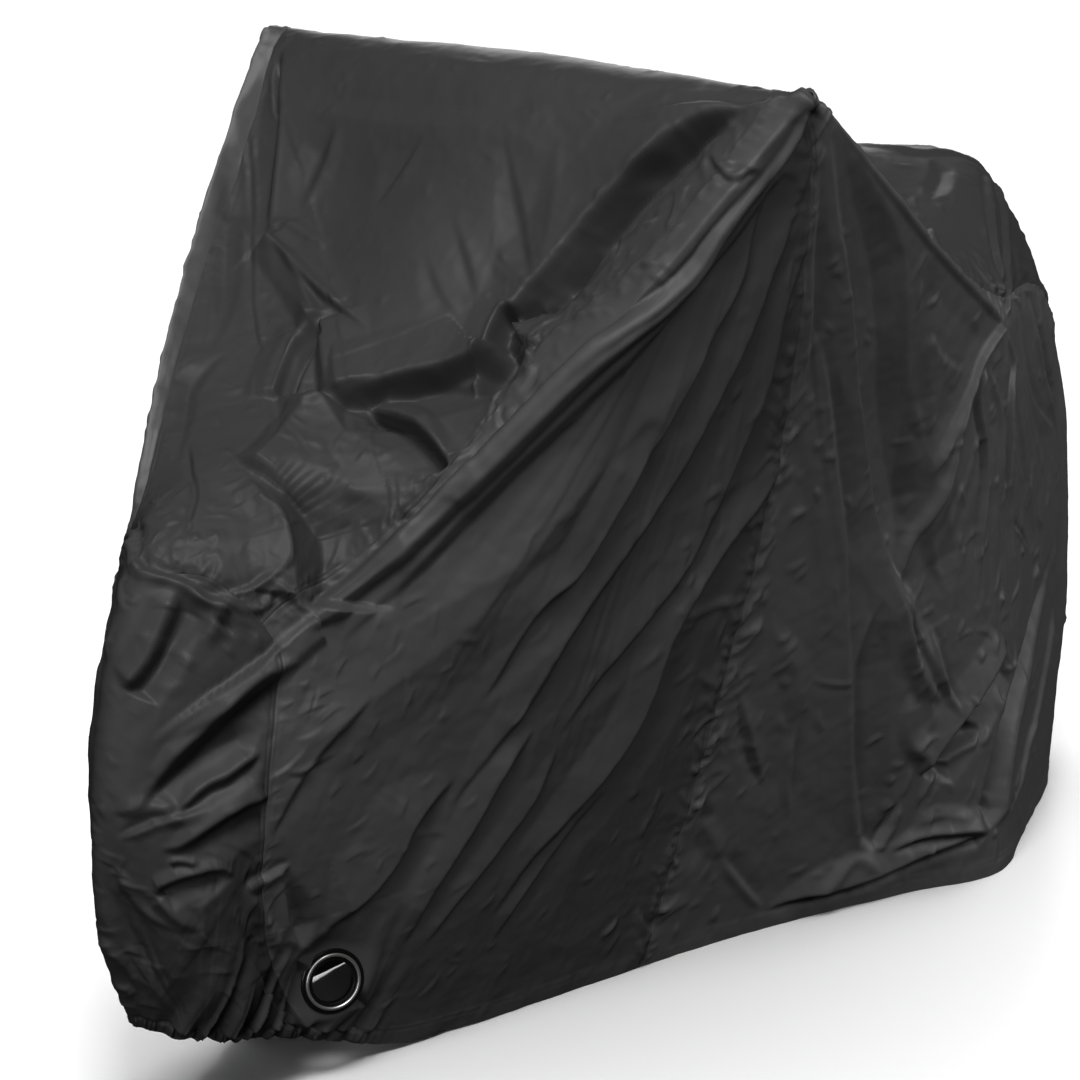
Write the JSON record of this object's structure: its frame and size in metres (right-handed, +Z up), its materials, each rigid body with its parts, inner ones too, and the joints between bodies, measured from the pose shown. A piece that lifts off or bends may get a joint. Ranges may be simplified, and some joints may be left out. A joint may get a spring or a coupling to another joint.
{
  "type": "bicycle cover",
  "caption": "Fitted black cloth cover for a bicycle, hollow, as it hangs, with a gathered elastic nose hem and a round lock eyelet low on each side.",
  "frame": {"origin": "on the ground plane of the hem, under the middle of the cover's box", "axes": "+X from the nose to the tail, +Y from the near side to the far side, +Z up"},
  "size_m": [1.7772, 0.816, 1.0944],
  "materials": {
    "cloth": "thin coated weave, satin",
    "eyelet_plastic": "gloss",
    "eyelet_metal": "bright"
  },
  "bodies": {
    "root": {"nose_panel": "cloth", "top_panel": "cloth", "near_front_side": "cloth", "near_rear_side": "cloth", "far_front_side": "cloth", "far_rear_side": "cloth", "near_lock_strip": "cloth", "far_lock_strip": "cloth", "near_lock_grommet": "eyelet_plastic", "far_lock_grommet": "eyelet_plastic", "near_lock_ring": "eyelet_metal", "far_lock_ring": "eyelet_metal"}
  },
  "joints": []
}
